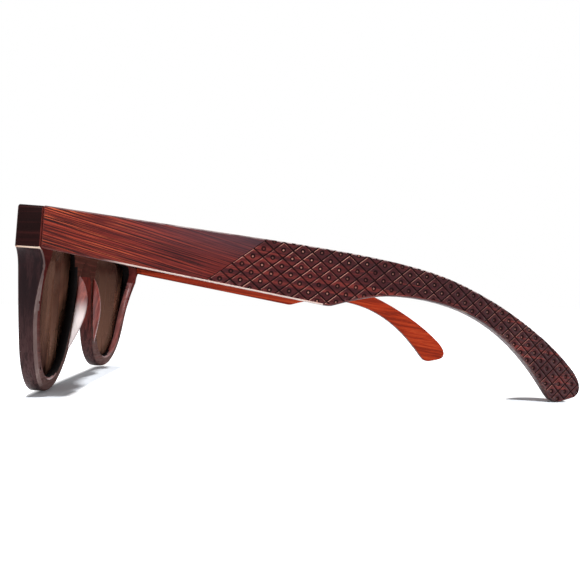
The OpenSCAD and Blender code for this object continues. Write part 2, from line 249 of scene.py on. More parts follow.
@dataclass(frozen=True)
class Wood:
    """A stained, oiled wood; reaches are in millimetres and scales in repeats per metre."""

    name: str
    base: Shade
    dark: Shade
    light: Shade
    tilt: float = TEMPLE_FALL
    crosswise: bool = False
    figure: Triple = (120, 9, 160)
    grain: Triple = (300, 14, 900)
    streak: float = 0.65
    pore: Triple = (1500, 60, 4200)
    pores: float = 0.5
    rings: float = 0.0
    ring: Triple = (400, 28, 3300)
    ring_patch: Triple = (150, 60, 420)
    ring_colour: Shade = (206, 96, 58)
    rear: Shade | None = None
    rear_reach: Pair = (-20, 40)
    rear_share: float = 1.0
    # painted sheen over a temple's top
    upper: Shade | None = None
    painted_top_sheen_reach: Pair = (32, 40)
    painted_top_sheen_from: Pair = (-58, -12)
    middle: Shade | None = None
    middle_dark: Shade | None = None
    middle_reach: Pair = (34, 18)
    # painted sheen low down
    painted_low_sheen: Shade | None = None
    painted_low_sheen_reach: Pair = (30, 4)
    # painted sheen low on faces that look away from the nose
    painted_sheen: Shade | None = None
    painted_sheen_reach: Pair = (28.5, 20)
    # pale flecks, partly worn and partly painted highlight
    rubbed: float = 0.0
    wear_and_highlight_colour: Shade = (196, 166, 146)
    wear_and_highlight_scale: Triple = (240, 130, 240)
    wear_and_highlight_from: Pair | None = None
    wear_and_highlight_until: Pair | None = None
    roughness: float = 0.42
    shine: float = 0.1
    polish: float = 0.0
    relief: float = 0.02

    def lay(self, p: Painter, scale: Triple) -> NodeSocket:
        """Coordinates of the grain, which runs along X in a crosswise wood and along Y elsewhere."""
        return p.place((scale[1], scale[0], scale[2]) if self.crosswise else scale, self.tilt)

    def tone(self, p: Painter) -> None:
        """Lays the broad tones: the figure, those towards the nose, a painted sheen low down, the tone
        towards the ear, and the rings.

        Args:
            p: the material's painter.
        """
        figure = p.noise(self.lay(p, self.figure), 4, 0.55, 0.6)
        heart = p.ramp(figure, 0.3, 0.72)
        p.colour = p.mix(heart, self.dark, self.base)
        if self.middle:
            outer, inner = self.middle_reach
            nasal = p.ramp(p.math("ABSOLUTE", p.axis("X")), outer * MM, inner * MM)
            p.cover(nasal, p.mix(heart, self.middle_dark, self.middle))
        # painted sheen: paler, greyer colour low down, where the floor's light falls
        if self.painted_low_sheen:
            p.cover(p.product(p.step("Z", self.painted_low_sheen_reach), p.ramp(figure, 0.2, 0.7, 0.8)), self.painted_low_sheen)
        if self.rear:
            p.cover(p.step("Y", self.rear_reach, 0, self.rear_share), self.rear)
        if self.rings:
            lines = p.ramp(p.noise(self.lay(p, self.ring), 3, 0.55, 0.4), 0.54, 0.62)
            patches = p.ramp(p.noise(self.lay(p, self.ring_patch)), 0.36, 0.56)
            fading = p.step("Y", self.rear_reach, 1.05, 0.05)
            p.cover(p.product(lines, patches, fading, self.rings), self.ring_colour)

    def age(self, p: Painter) -> None:
        """Lays a pale painted sheen on low faces that look away from the nose, a greyish painted sheen on a
        temple's top and pale flecks, partly worn and partly painted highlight.

        Args:
            p: the material's painter.
        """
        # painted sheen: pale colour on low faces that look away from the nose
        if self.painted_sheen:
            away = p.product(p.part(p.normal, "X"), p.math("SIGN", p.axis("X")))
            pale = p.product(p.ramp(away, 0.0, 0.5), p.step("Z", self.painted_sheen_reach, 0.04))
            p.cover(pale, self.painted_sheen)
        # painted sheen: a greyish colour laid over a temple's top
        if self.upper:
            height = p.part(p.place((1, 1, 1), TEMPLE_FALL), "Z")
            low, high = self.painted_top_sheen_reach
            dull = p.product(p.ramp(height, low * MM, high * MM), p.step("Y", self.painted_top_sheen_from, 0, 0.75))
            p.cover(dull, self.upper)
        # pale flecks, partly worn and partly painted highlight
        if self.rubbed:
            low = 0.62 - 0.4 * self.rubbed
            bare = p.ramp(p.noise(self.lay(p, self.wear_and_highlight_scale), 5, 0.65), low, low + 0.24, 0, 0.9)
            if self.wear_and_highlight_from:
                bare = p.product(bare, p.step("Y", self.wear_and_highlight_from))
            if self.wear_and_highlight_until:
                bare = p.product(bare, p.step("Y", self.wear_and_highlight_until, 1.0, 0.4))
            p.cover(bare, self.wear_and_highlight_colour)

    def material(self) -> Material:
        """Builds the finish.

        Returns:
            The material.
        """
        p = Painter(self.name)
        streaks = p.noise(self.lay(p, self.grain), 5, 0.6)
        pores = p.noise(self.lay(p, self.pore), 2)
        self.tone(p)
        p.cover(p.ramp(streaks, 0.51, 0.62, 0, self.streak), self.light)
        p.cover(p.ramp(streaks, 0.5, 0.41, 0, self.streak), self.dark)
        p.cover(p.ramp(pores, 0.5, 0.32, 0, self.pores), self.dark)
        self.age(p)
        rough = p.ramp(pores, 0.3, 0.7, self.roughness + 0.12, self.roughness - 0.05)
        p.set(Base_Color=p.colour, Roughness=rough)
        p.set(Specular_IOR_Level=self.shine, Coat_Weight=self.polish, Coat_Roughness=0.2)
        p.bump(p.math("ADD", pores, streaks), self.relief * MM, 0.6)
        return p.material


@dataclass(frozen=True)
class Tint:
    """Dark brown lens with a bronze flash, faintly smeared by wiping; scales are in repeats per metre."""

    name: str = "brown_lens"
    glass: Shade = (46, 28, 24)
    deep_glass: Shade = (40, 25, 22)
    flash: Shade = (168, 120, 98)
    deep_flash: Shade = (154, 109, 88)
    smear: Triple = (60, 60, 60)
    smear_roughness: Pair = (0.03, 0.1)
    bloom: Triple = (18, 18, 18)
    glass_index: float = 1.01
    mirror_blur: float = 0.24
    mirror_index: float = 1.3

    def material(self) -> Material:
        """Builds the finish: clear tinted glass under a blurred mirror that grows at a glance.

        Returns:
            The material.
        """
        p = Painter(self.name)
        rough = p.ramp(p.noise(p.place(self.smear), 4, 0.6), 0.35, 0.75, *self.smear_roughness)
        bloom = p.ramp(p.noise(p.place(self.bloom), 1), 0.3, 0.7)
        p.set(Base_Color=p.mix(bloom, self.glass, self.deep_glass), IOR=self.glass_index, Roughness=rough)
        p.set(Transmission_Weight=1.0, Specular_IOR_Level=0.0, Specular_Tint=stain(*self.flash))
        flash = p.mix(bloom, self.flash, self.deep_flash)
        blur = p.math("ADD", rough, self.mirror_blur)
        mirror = p.add("BsdfGlossy", {"Color": flash, "Roughness": blur})
        glance = p.add("Fresnel", {"IOR": self.mirror_index}).outputs[0]
        outside = p.math("SUBTRACT", 1.0, p.add("NewGeometry").outputs["Backfacing"])
        shown = p.product(glance, outside)
        both = p.add("MixShader", {0: shown, 1: p.shader.outputs[0], 2: mirror.outputs[0]})
        p.put(p.out.inputs[0], both.outputs[0])
        return p.material


@dataclass(frozen=True)
class Steel:
    """Brushed or bright steel."""

    name: str
    bright: Shade
    dull: Shade
    roughness: float = 0.3
    brush: Triple = (400, 8000, 8000)
    spot: Triple = (700, 700, 700)

    def material(self) -> Material:
        """Builds the finish.

        Returns:
            The material.
        """
        p = Painter(self.name)
        brushed = p.noise(p.place(self.brush), 3, 0.6)
        spots = p.ramp(p.noise(p.place(self.spot), 4, 0.65), 0.52, 0.75)
        p.set(Base_Color=p.mix(spots, self.bright, self.dull), Metallic=1.0)
        p.set(Roughness=p.ramp(brushed, 0.3, 0.7, self.roughness - 0.08, self.roughness + 0.12))
        p.bump(brushed, 0.004 * MM, 0.5)
        return p.material


class Skin(Enum):
    """A wood among those of a piece, in the order of the piece's materials."""

    @property
    def index(self) -> int:
        """Its place in that order."""
        return list(type(self)).index(self)


class FrontSkin(Skin):
    """The woods of the front."""

    # the rims' paler colour low down is a painted sheen
    SIDE = Wood(
        "rim_wood", (42, 24, 26), (30, 16, 18), (54, 32, 33), tilt=-80, shine=0.06, middle=(126, 42, 31),
        middle_dark=(90, 32, 25), painted_low_sheen=(84, 58, 57),
    )
    FACE = Wood("front_wood", (62, 28, 26), (30, 14, 14), (98, 46, 40), tilt=0, crosswise=True)
    # the back's greyish colour low down is a painted sheen
    BACK = Wood(
        "back_wood", (104, 44, 40), (72, 30, 28), (136, 68, 60), tilt=0, crosswise=True, shine=0.0,
        streak=0.2, middle=(78, 48, 40), middle_dark=(56, 33, 28), painted_low_sheen=(112, 90, 86),
    )
    # black walls of the lens openings; beside the nose the black over the roundings is painted shade
    WALL = Wood("black_wall", (12, 8, 8), (7, 5, 5), (20, 12, 11), tilt=0, roughness=0.7, shine=0.05)
    END = Wood("end_wood", (36, 13, 13), (22, 8, 8), (52, 22, 21), tilt=0, shine=0.03)
    # painted highlight: the cream line along the end piece's lower edge
    RUBBED = Wood(
        "end_edge_highlight", (196, 150, 122), (138, 92, 74), (226, 192, 166), tilt=0, rubbed=0.6,
        wear_and_highlight_colour=(236, 208, 186),
    )
    # real gloss; its pink, lighter than the back, is partly a painted highlight on the openings' roundings
    POLISHED = Wood(
        "polished_wood", (138, 62, 55), (104, 44, 40), (172, 96, 87), tilt=-70, streak=0.35, roughness=0.3,
        polish=0.6,
    )
    # painted highlight: the pale rear edge of the rims' sides
    REAR_EDGE_HIGHLIGHT = Wood(
        "rim_edge_highlight", (128, 106, 101), (98, 78, 75), (160, 140, 134), tilt=-80, streak=0.3, shine=0.06,
    )


# the pale low side of each pad, away from the nose, is a painted sheen
PAD_WOOD = Wood(
    "pad_wood", (122, 48, 40), (90, 33, 28), (150, 70, 58), pores=0.3, tilt=-70, roughness=0.3, polish=0.5,
    relief=0.006, painted_sheen=(252, 236, 232),
)


class TempleSkin(Skin):
    """The woods of a temple."""

    # the greyish top of the outer side is a painted sheen
    OUTER = Wood(
        "temple_wood", (94, 25, 20), (30, 8, 10), (150, 56, 40), tilt=16.5, grain=(300, 32, 3000),
        streak=0.95, rings=0.95, rear=(114, 40, 38), rear_reach=(-66, -24), rear_share=0.75,
        upper=(78, 54, 60),
    )
    CARVED = Wood("carved_wood", (82, 27, 27), (44, 15, 19), (118, 46, 40), pores=0.7, rear=(56, 24, 26))
    # dark grooves and pit walls, partly painted shade
    GROOVE = Wood("carved_groove", (36, 12, 13), (24, 8, 9), (52, 20, 19), roughness=0.6, shine=0.05)
    # pale shoulders and pit floors: painted highlight, with worn flecks
    WORN_AND_LIT = Wood(
        "worn_and_lit_edge", (100, 40, 37), (68, 25, 26), (132, 68, 58), rear=(66, 31, 32), rubbed=0.6,
        wear_and_highlight_until=(4, 34), wear_and_highlight_colour=(190, 134, 118), roughness=0.4,
    )
    # grey-purple, partly a painted reflection of the floor on the undersides
    EDGE = Wood(
        "edge_wood", (84, 54, 53), (56, 34, 35), (112, 80, 77), rubbed=0.16, wear_and_highlight_scale=(900, 24, 900), shine=0.2,
    )
    # lighter and more orange than the outer side, partly painted light on the inner face
    INNER = Wood(
        "lit_inner_wood", (140, 45, 25), (98, 27, 16), (172, 66, 34), pores=0.35, rear=(150, 46, 21),
        roughness=0.4, shine=0.06,
    )
    # a fainter painted highlight on shoulders that face up and back
    HALF_WORN_AND_LIT = Wood(
        "half_worn_and_lit_edge", (84, 30, 29), (56, 20, 22), (110, 48, 42), rear=(60, 27, 28), rubbed=0.25,
        wear_and_highlight_colour=(178, 118, 104), roughness=0.4,
    )
    # painted highlight: the pale line along the lower edge
    LOWER_EDGE_HIGHLIGHT = Wood(
        "lower_edge_highlight", (104, 46, 40), (64, 25, 24), (140, 74, 62), rubbed=1.0, wear_and_highlight_from=(-52, -44),
        wear_and_highlight_colour=(228, 204, 192),
    )
    # painted sheen: the greyish, pale-flecked top edge
    UPPER_EDGE_SHEEN = Wood(
        "upper_edge_sheen", (116, 82, 80), (74, 44, 46), (150, 124, 122), rubbed=0.7, wear_and_highlight_from=(-48, -40),
        wear_and_highlight_colour=(176, 160, 158), roughness=0.3,
    )


STEELS: dict[Slot, Steel] = {
    Slot.HINGE: Steel("hinge_steel", (195.7, 195.7, 198.8), (155.5, 155.5, 158.0)),
    Slot.SCREW: Steel("screw_steel", (206.4, 206.4, 209.4), (164.2, 164.2, 166.5), 0.24, (2000, 2000, 2000)),
}


class Finishes:
    """Every finish of the glasses, made once."""

    def __init__(self) -> None:
        """Makes the materials."""
        self.front = [skin.value.material() for skin in FrontSkin]
        self.temple = [skin.value.material() for skin in TempleSkin]
        self.pad = PAD_WOOD.material()
        self.lens = Tint().material()
        self.steel = {slot: steel.material() for slot, steel in STEELS.items()}


def added(name: str, data: ID) -> Object:
    """Adds an object to the scene.

    Args:
        name: its name.
        data: its mesh, lamp or camera.

    Returns:
        The object.
    """
    made = bpy.data.objects.new(name, data)
    bpy.context.scene.collection.objects.link(made)
    return made


def merged_copy(node: str, flatten: float = 0.3) -> BMesh:
    """A closed copy of a CAD node, with its flat faces whole.

    Args:
        node: the CAD node's name.
        flatten: faces within this many degrees become one.

    Returns:
        The copy, in the upright frame.
    """
    bm = bmesh.new()
    bm.from_mesh(frame["nodes"][node].data)
    bmesh.ops.remove_doubles(bm, verts=bm.verts[:], dist=0.001 * MM)
    limit = math.radians(flatten)
    bmesh.ops.dissolve_limit(bm, angle_limit=limit, verts=bm.verts[:], edges=bm.edges[:])
    bmesh.ops.transform(bm, matrix=UPRIGHT, verts=bm.verts[:])
    return bm


def is_sharp(edge: BMEdge) -> bool:
    """Whether two faces meet at an edge more sharply than the facets of a curve do."""
    return edge.is_manifold and edge.calc_face_angle(0) > SHARP


def soften(bm: BMesh, width: float, wanted: Callable[[BMEdge], bool], segments: int = 3) -> list[BMFace]:
    """Rounds the sharp edges that are wanted.

    Args:
        bm: the mesh.
        width: width of the rounding in millimetres.
        wanted: says whether an edge is rounded.
        segments: steps of the rounding.

    Returns:
        The faces of the roundings.
    """
    sharp = [e for e in bm.edges if is_sharp(e) and wanted(e)]
    made = bmesh.ops.bevel(
        bm, geom=sharp, offset=width * MM, offset_type="OFFSET", affect="EDGES", segments=segments,
        profile=0.5, material=-1, clamp_overlap=False,
    )
    return made["faces"]


def as_object(bm: BMesh, name: str, materials: Sequence[Material], crease: float = 32) -> Object:
    """Turns a mesh in the upright frame into an object in the standing one.

    Args:
        bm: the mesh, which is freed.
        name: the piece's name.
        materials: its materials, in the order of the faces' indices.
        crease: edges sharper than this stay sharp, in degrees.

    Returns:
        The object, at the origin.
    """
    bmesh.ops.transform(bm, matrix=STANCE, verts=bm.verts[:])
    mesh = bpy.data.meshes.new(name)
    bm.to_mesh(mesh)
    bm.free()
    for material in materials:
        mesh.materials.append(material)
    mesh.shade_smooth()
    mesh.set_sharp_from_angle(angle=math.radians(crease))
    return added(name, mesh)


def settle(piece: Object, crease: float) -> None:
    """Makes a piece's modifiers part of its mesh.

    Args:
        piece: the piece, whose mesh is replaced.
        crease: edges sharper than this stay sharp, in degrees.
    """
    bpy.context.view_layer.update()
    plain = piece.data
    solved = piece.evaluated_get(bpy.context.evaluated_depsgraph_get())
    piece.data = bpy.data.meshes.new_from_object(solved)
    piece.modifiers.clear()
    piece.data.set_sharp_from_angle(angle=math.radians(crease))
    bpy.data.meshes.remove(plain)


def carve(piece: Object, cutter: Object, kind: str) -> None:
    """Cuts a piece with a solid and removes the solid.

    Args:
        piece: the piece, whose mesh is replaced.
        cutter: the solid, whose faces take the piece's materials.
        kind: DIFFERENCE to take the solid away or INTERSECT to keep what lies in it.
    """
    cut = piece.modifiers.new("carve", "BOOLEAN")
    cut.operation = kind
    cut.solver = "MANIFOLD"
    cut.object = cutter
    settle(piece, 24)
    bpy.data.objects.remove(cutter)


def seat(piece: Object, body: str, slot: Slot, *nodes: str) -> None:
    """Lets a piece ride on a body and stand for its CAD nodes.

    Args:
        piece: the finished piece.
        body: the CAD body's name.
        slot: the record's material slot; not used.
        nodes: the CAD nodes that it replaces.
    """
    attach(piece, body)
    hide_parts(*nodes)
    LOG.info("%s rides on %s, %d faces", piece.name, body, len(piece.data.polygons))


@dataclass
class Front:
    """The one-piece front with its lenses and nose pads; sizes are in millimetres."""

    finishes: Finishes
    sweep_radius: float = 500.0
    end_depth: float = 6.2
    end_x: float = 56.0
    end_underside: float = 40.5
    ledge: Pair = (40.2, 41.0)
    bridge_x: float = 15.0
    bridge_underside: float = 36.0
    flank_x: float = 45.0
    groove_depths: Pair = (0.3, 2.2)
    pocket_end: float = 67.0
    pocket_half: float = 3.3
    pocket_y: float = -5.0
    back_depth: float = 4.0
    join: float = 0.26
    edge_round: float = 0.45
    nasal_round: float = 0.5
    nasal_reach: Pair = (24.0, 16.0)
    opening_round: float = 1.2
    temporal_round: float = 2.1
    temporal_reach: Pair = (38.0, 50.0)
    back_round: float = 1.7
    flank_reach: Pair = (24.0, 38.0)
    black_reach: Pair = (46.0, 29.89)
    brow_x: float = 42.0
    brow_z: float = 38.0
    lens_middle: Pair = (36.0, 24.5)
    lens_sides: Pair = (12.0, 61.5)
    lens_heights: Pair = (2.5, 45.6)
    lens_hold: float = 0.98
    lens_ease: float = 0.08
    lens_step: float = 1.2

    def depth(self, point: Vector) -> float:
        """How far a point in the upright frame lies behind the front face, in millimetres."""
        middle = math.sqrt(self.sweep_radius**2 - HALF_WIDTH**2) - self.end_depth
        return self.sweep_radius - math.hypot(point.x / MM, point.y / MM - middle)

    def is_inside(self, point: Vector) -> bool:
        """Whether a point lies on a lens groove, a hinge pocket or a screw hole."""
        low, high = self.groove_depths
        return low < self.depth(point) < high or self.in_pocket(point)

    def in_pocket(self, point: Vector) -> bool:
        """Whether a point lies on a hinge pocket or a screw hole."""
        x, y, z = abs(point.x) / MM, point.y / MM, point.z / MM
        return self.end_x < x < self.pocket_end and abs(z - HINGE_Z) < self.pocket_half and y > self.pocket_y

    def towards_lens(self, normal: Vector, middle: Vector) -> bool:
        """Whether a face looks towards the middle of its lens, from within the lens's own box.

        Args:
            normal: the face's normal in the upright frame.
            middle: its middle there.

        Returns:
            True where it does.
        """
        x, z = abs(middle.x) / MM, middle.z / MM
        side = normal.x * math.copysign(1, middle.x)
        (left, right), (low, high) = self.lens_sides, self.lens_heights
        towards = (self.lens_middle[0] - x) * side + (self.lens_middle[1] - z) * normal.z
        return towards > 0 and left < x < right and low < z < high

    def rounding(self, edge: BMEdge) -> float:
        """The rounding of an edge in millimetres.

        Args:
            edge: an edge of the front's copy.

        Returns:
            Its width: large on the rims' backs, less towards the end pieces and the nose, none in grooves
            and pockets.
        """
        if not is_sharp(edge) or not edge.is_convex or any(self.is_inside(v.co) for v in edge.verts):
            return 0.0
        middle = (edge.verts[0].co + edge.verts[1].co) / 2
        x, z = abs(middle.x) / MM, middle.z / MM
        back = max(f.normal.y for f in edge.link_faces) > 0.6 and self.depth(middle) > self.back_depth
        walls = [f for f in edge.link_faces if abs(f.normal.y) < 0.45]
        if not back or not walls:
            return self.edge_round
        if self.towards_lens(walls[0].normal, walls[0].calc_center_median()):
            return between(self.opening_round, self.temporal_round, share(x, *self.temporal_reach))
        if x > self.flank_x:
            return between(self.back_round, self.edge_round, share(z, *self.flank_reach))
        return between(self.back_round, self.nasal_round, share(x, *self.nasal_reach))

    def black_until(self, x: float, z: float) -> float:
        """How far an opening's wall is black: all round beside the nose, where the black also covers the
        roundings as painted shade, little at the flank.

        Args:
            x: distance from the middle of the front, in millimetres.
            z: height in millimetres.

        Returns:
            The normal's Y up to which a face is black.
        """
        if z >= self.brow_z:
            return 0.25 if x < self.brow_x else 0.08
        if x < self.nasal_reach[0] and z < self.bridge_underside:
            return 0.995
        return between(0.08, 0.95, share(x, *self.black_reach))

    def paint(self, normal: Vector, middle: Vector) -> FrontSkin:
        """The finish of a face.

        Args:
            normal: the face's normal in the upright frame.
            middle: its middle there.

        Returns:
            The finish.
        """
        x, z = abs(middle.x) / MM, middle.z / MM
        out = normal.x * math.copysign(1, middle.x)
        black_below = self.black_until(x, z)
        under_end = self.ledge[0] < z < self.ledge[1] and -0.9 < normal.z < -0.2
        # faces towards the lens are black up to a slope, beside the nose over the roundings as painted shade
        if self.towards_lens(normal, middle) and -0.45 < normal.y < max(black_below, 0.94):
            bare = FrontSkin.POLISHED if z < self.bridge_underside else FrontSkin.BACK
            return FrontSkin.WALL if normal.y < black_below else bare
        # the end piece's lower edge gets a painted highlight
        if x > self.pocket_end and under_end and abs(normal.y) < 0.7:
            return FrontSkin.RUBBED
        if z > self.end_underside and normal.z > 0.6:
            return FrontSkin.END
        # the rims' rear edges get a painted highlight
        if x > self.flank_x and z < self.end_underside and 0.2 < normal.y < 0.9 and out > 0.2:
            return FrontSkin.REAR_EDGE_HIGHLIGHT
        on_bridge = x < self.bridge_x and z > self.bridge_underside
        if normal.y > 0.3 or (normal.y > -0.5 and on_bridge):
            return FrontSkin.BACK
        if normal.y < -0.6:
            return FrontSkin.FACE
        return FrontSkin.END if z > self.end_underside and x > self.end_x else FrontSkin.SIDE

    def frame_piece(self) -> None:
        """Rounds and paints the front."""
        bm = merged_copy("front_frame")
        loose = [v for v in bm.verts if not self.in_pocket(v.co)]
        bmesh.ops.remove_doubles(bm, verts=loose, dist=self.join * MM)
        bm.normal_update()
        weight = bm.edges.layers.float.new("bevel_weight_edge")
        for edge in bm.edges:
            edge[weight] = self.rounding(edge) / self.temporal_round
        piece = as_object(bm, "front", self.finishes.front)
        soft = piece.modifiers.new("rounding", "BEVEL")
        soft.limit_method, soft.width, soft.segments = "WEIGHT", self.temporal_round * MM, 5
        soft.use_clamp_overlap = False
        settle(piece, 32)
        for face in piece.data.polygons:
            face.material_index = self.paint(UPRIGHT.to_3x3() @ face.normal, UPRIGHT @ face.center).index
        seat(piece, "front", Slot.FRONT, "front_frame")

    def lens_piece(self, side: Side) -> None:
        """Makes one lens, its rear standing back from the groove.

        Args:
            side: the half that it belongs to.
        """
        bm = merged_copy(f"lens_{side.label}")
        rear = [f for f in bm.faces if f.normal.y > 0.97]
        for width in (self.lens_hold, self.lens_ease):
            bmesh.ops.inset_region(bm, faces=rear, thickness=width * MM, use_even_offset=True)
        stepped = list({v for f in rear for v in f.verts})
        bmesh.ops.translate(bm, vec=(0, self.lens_step * MM, 0), verts=stepped)
        bm.normal_update()
        piece = as_object(bm, f"tinted_lens_{side.label}", [self.finishes.lens])
        seat(piece, "front", Slot.LENS, f"lens_{side.label}")

    def pad_piece(self, side: Side) -> None:
        """Makes one nose pad, its facets smoothed.

        Args:
            side: the half that it belongs to.
        """
        bm = merged_copy(f"nose_pad_{side.label}", 0.01)
        piece = as_object(bm, f"smooth_pad_{side.label}", [self.finishes.pad], 60)
        smooth = piece.modifiers.new("rounding", "SUBSURF")
        smooth.levels = smooth.render_levels = 2
        seat(piece, "front", Slot.PAD, f"nose_pad_{side.label}")

    def build(self) -> None:
        """Builds the front and what is fixed in it."""
        self.frame_piece()
        for side in Side:
            self.lens_piece(side)
            self.pad_piece(side)


@dataclass
class Lattice:
    """The carved diamonds of a temple, as a cutter over its outer face; sizes are in millimetres."""

    start: Pair = (47.46, 40.06)
    along: Pair = (2.694, 2.083)
    across: Pair = (2.525, -2.068)
    rows: tuple[int, int] = (-6, 24)
    columns: int = 36
    tighten_from: float = 46.0
    tighten: float = 0.00245
    spine: tuple[Pair, ...] = ((40, 42), (72, 38.5), (92, 39), (105, 37), (125, 28), (150, 8))
    reach: float = 9.5
    groove_half: float = 0.19
    groove_depth: float = 0.24
    shoulder: float = 0.06
    shoulder_width: float = 0.13
    pit_radius: float = 0.68
    pit_floor: float = 0.34
    pit_depth: float = 0.3
    skin: float = 0.02
    spokes: int = 12
    height: float = 4.0

    def ring(self, inset: float) -> list[Vector]:
        """The outline of a diamond about its middle, drawn in by a distance.

        Args:
            inset: distance from the diamond's sides.

        Returns:
            A point for each spoke, in Y and Z.
        """
        a, b = Vector(self.along), Vector(self.across)
        area = abs(a.cross(b))
        half_a = a * (0.5 - inset * b.length / area)
        half_b = b * (0.5 - inset * a.length / area)
        points = []
        for k in range(self.spokes):
            turn = math.tau * (k / self.spokes + 0.125)
            reach = max(abs(math.cos(turn)), abs(math.sin(turn)))
            points.append(half_a * (math.cos(turn) / reach) + half_b * (math.sin(turn) / reach))
        return points

    def circle(self, radius: float) -> list[Vector]:
        """Points on a circle, in the directions of the diamond's spokes."""
        return [p.normalized() * radius for p in self.ring(0)]

    def shoulder_highlight_skin(self, face: BMFace) -> TempleSkin:
        """The finish of a shoulder: a pale painted highlight with worn flecks where it faces up and forward,
        a fainter one where up and back.

        Args:
            face: a face of the shoulder.

        Returns:
            The finish.
        """
        middle = face.calc_center_median()
        beside, before = (d[0] * middle.z - d[1] * middle.y for d in (self.along, self.across))
        if beside > abs(before):
            return TempleSkin.WORN_AND_LIT
        return TempleSkin.HALF_WORN_AND_LIT if before > abs(beside) else TempleSkin.CARVED

    def cell(self, bm: BMesh) -> list[BMFace]:
        """Makes one diamond with its half grooves and its pit, at the origin of the sheet.

        Args:
            bm: the mesh to make it in, X being depth and negative into the wood.

        Returns:
            The diamond's faces.
        """
        # groove walls and pit walls take the dark groove wood, partly painted shade
        rings = [
            (self.ring(self.groove_half), -self.shoulder, TempleSkin.GROOVE),
            (self.ring(self.groove_half + self.shoulder_width), 0.0, None),
            (self.circle(self.pit_radius), 0.0, TempleSkin.CARVED),
            (self.circle(self.pit_floor * self.pit_radius), -self.pit_depth, TempleSkin.GROOVE),
        ]
        made = bmesh.ops.create_circle(bm, cap_ends=True, radius=1, segments=self.spokes)
        face = made["verts"][0].link_faces[0]
        self.move(face, self.ring(0), -self.groove_depth)
        faces = [face]
        for points, depth, skin in rings:
            made = bmesh.ops.inset_individual(bm, faces=[face], thickness=0.01)
            self.move(face, points, depth)
            for wall in made["faces"]:
                wall.material_index = (skin or self.shoulder_highlight_skin(wall)).index
            faces += made["faces"]
        # the pit's floor takes the pale painted highlight
        face.material_index = TempleSkin.WORN_AND_LIT.index
        return faces

    def move(self, face: BMFace, points: Sequence[Vector], depth: float) -> None:
        """Moves a face's corners to points of the sheet at one depth below its skin."""
        for loop, point in zip(face.loops, points):
            loop.vert.co = (depth - self.skin, point.x, point.y)

    def tightened(self, y: float) -> float:
        """Draws a distance behind the seam in, as the diamonds get shorter towards the ear."""
        past = max(y - self.tighten_from, 0)
        return y - past + (math.sqrt(1 + 2 * self.tighten * past) - 1) / self.tighten

    def on_temple(self, middle: Vector) -> bool:
        """Whether a diamond lies on the temple or close beside it.

        Args:
            middle: the diamond's middle before it is drawn in.

        Returns:
            True where it does.
        """
        y = self.tightened(middle.x)
        for (y0, z0), (y1, z1) in zip(self.spine, self.spine[1:]):
            if y0 <= y <= y1:
                return abs(z0 + (z1 - z0) * (y - y0) / (y1 - y0) - middle.y) < self.reach
        return False

    def sheet(self) -> BMesh:
        """Repeats the diamond over the whole carving.

        Returns:
            The diamonds as one open sheet.
        """
        bm = bmesh.new()
        faces = self.cell(bm)
        model = faces + list({v for f in faces for v in f.verts})
        a, b = Vector(self.along), Vector(self.across)
        for i in range(*self.rows):
            for j in range(self.columns):
                middle = Vector(self.start) + a * (i + 0.5) + b * (j + 0.5)
                if self.on_temple(middle):
                    copy = bmesh.ops.duplicate(bm, geom=model)
                    verts = [g for g in copy["geom"] if isinstance(g, BMVert)]
                    bmesh.ops.translate(bm, verts=verts, vec=(0, middle.x, middle.y))
        bmesh.ops.delete(bm, geom=[g for g in model if isinstance(g, BMVert)], context="VERTS")
        bmesh.ops.remove_doubles(bm, verts=bm.verts[:], dist=0.001)
        return bm

    def cutter(self, surface: Callable[[float], float]) -> Object:
        """The solid to take away from a left temple.

        Args:
            surface: X of the temple's outer face at a distance behind the seam.

        Returns:
            An object in the standing frame.
        """
        bm = self.sheet()
        for vert in bm.verts:
            vert.co.y = self.tightened(vert.co.y)
            vert.co.x += surface(vert.co.y)
        bmesh.ops.scale(bm, vec=(MM, MM, MM), verts=bm.verts[:])
        made = bmesh.ops.extrude_face_region(bm, geom=bm.faces[:], use_keep_orig=True)
        top = [g for g in made["geom"] if isinstance(g, BMVert)]
        bmesh.ops.translate(bm, verts=top, vec=(self.height * MM, 0, 0))
        bmesh.ops.recalc_face_normals(bm, faces=bm.faces[:])
        return as_object(bm, "carving", [])


